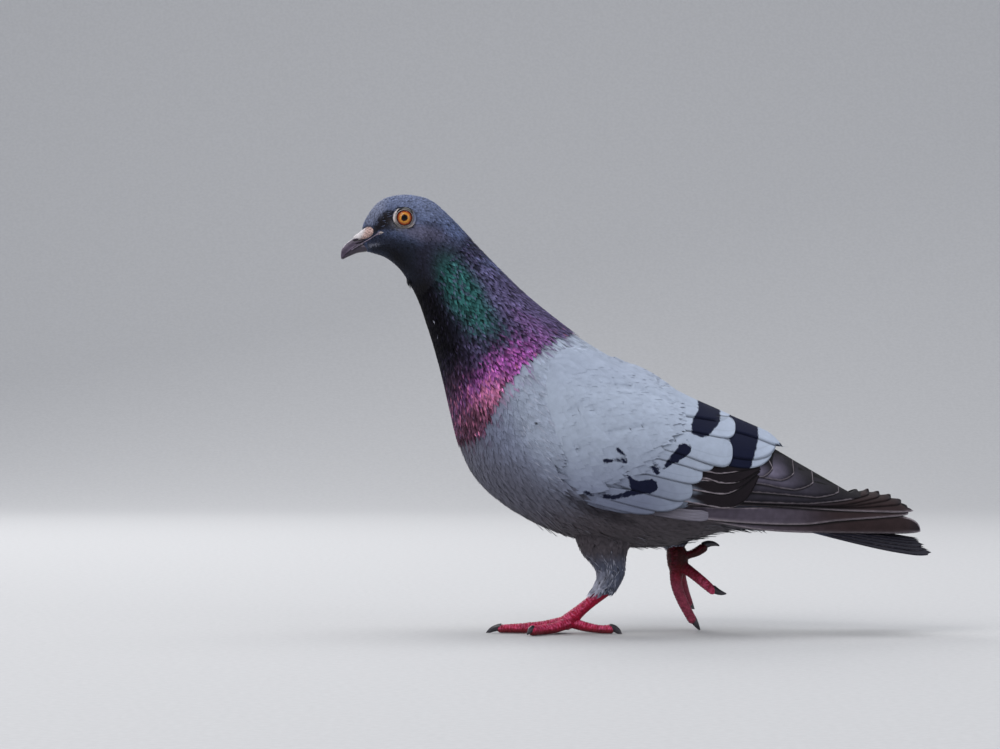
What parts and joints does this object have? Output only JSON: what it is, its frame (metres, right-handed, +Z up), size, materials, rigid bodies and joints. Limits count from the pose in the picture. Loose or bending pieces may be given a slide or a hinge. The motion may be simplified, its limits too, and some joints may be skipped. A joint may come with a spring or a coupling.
{
  "type": "pigeon figure",
  "caption": "Life-size standing model of a rock pigeon in mid stride, head up, with folded wings, one foot flat and the other lifting off its claw.",
  "frame": {"origin": "on the floor, under the middle of the bird's bounding box", "axes": "-X the way the bill points, +X the tail, -Y the bird's left, +Y its right, +Z up"},
  "size_m": [0.2822, 0.0956, 0.2101],
  "materials": {
    "plumage_slate": "soft matte contour feathers",
    "plumage_neck": "glossy feathers, green above and purple below",
    "plumage_pale": "pale blue-grey coverts, satin",
    "plumage_dark": "dark flight feathers with pale edges, satin",
    "horn": "dark bill horn, slightly glossy",
    "cere": "chalky pale skin",
    "eye": "wet orange iris with a black pupil",
    "skin_red": "crimson scaled skin",
    "claw": "dark polished horn"
  },
  "bodies": {
    "root": {"eye_left": "eye", "eye_right": "eye", "head": "plumage_slate", "neck": "plumage_neck", "trunk": "plumage_slate", "tail": "plumage_dark", "wing_left_coverts": "plumage_pale", "wing_left_secondaries": "plumage_dark", "wing_left_primaries": "plumage_dark", "wing_right_coverts": "plumage_pale", "wing_right_secondaries": "plumage_dark", "wing_right_primaries": "plumage_dark", "bill_upper": "horn", "bill_lower": "horn", "cere": "cere", "thigh_left": "plumage_slate", "thigh_right": "plumage_slate", "shank_left": "skin_red", "shank_right": "skin_red", "toe_left_1": "skin_red", "claw_left_1": "claw", "toe_left_2": "skin_red", "claw_left_2": "claw", "toe_left_3": "skin_red", "claw_left_3": "claw", "toe_left_4": "skin_red", "claw_left_4": "claw", "toe_right_1": "skin_red", "claw_right_1": "claw", "toe_right_2": "skin_red", "claw_right_2": "claw", "toe_right_3": "skin_red", "claw_right_3": "claw", "toe_right_4": "skin_red", "claw_right_4": "claw"}
  },
  "joints": []
}
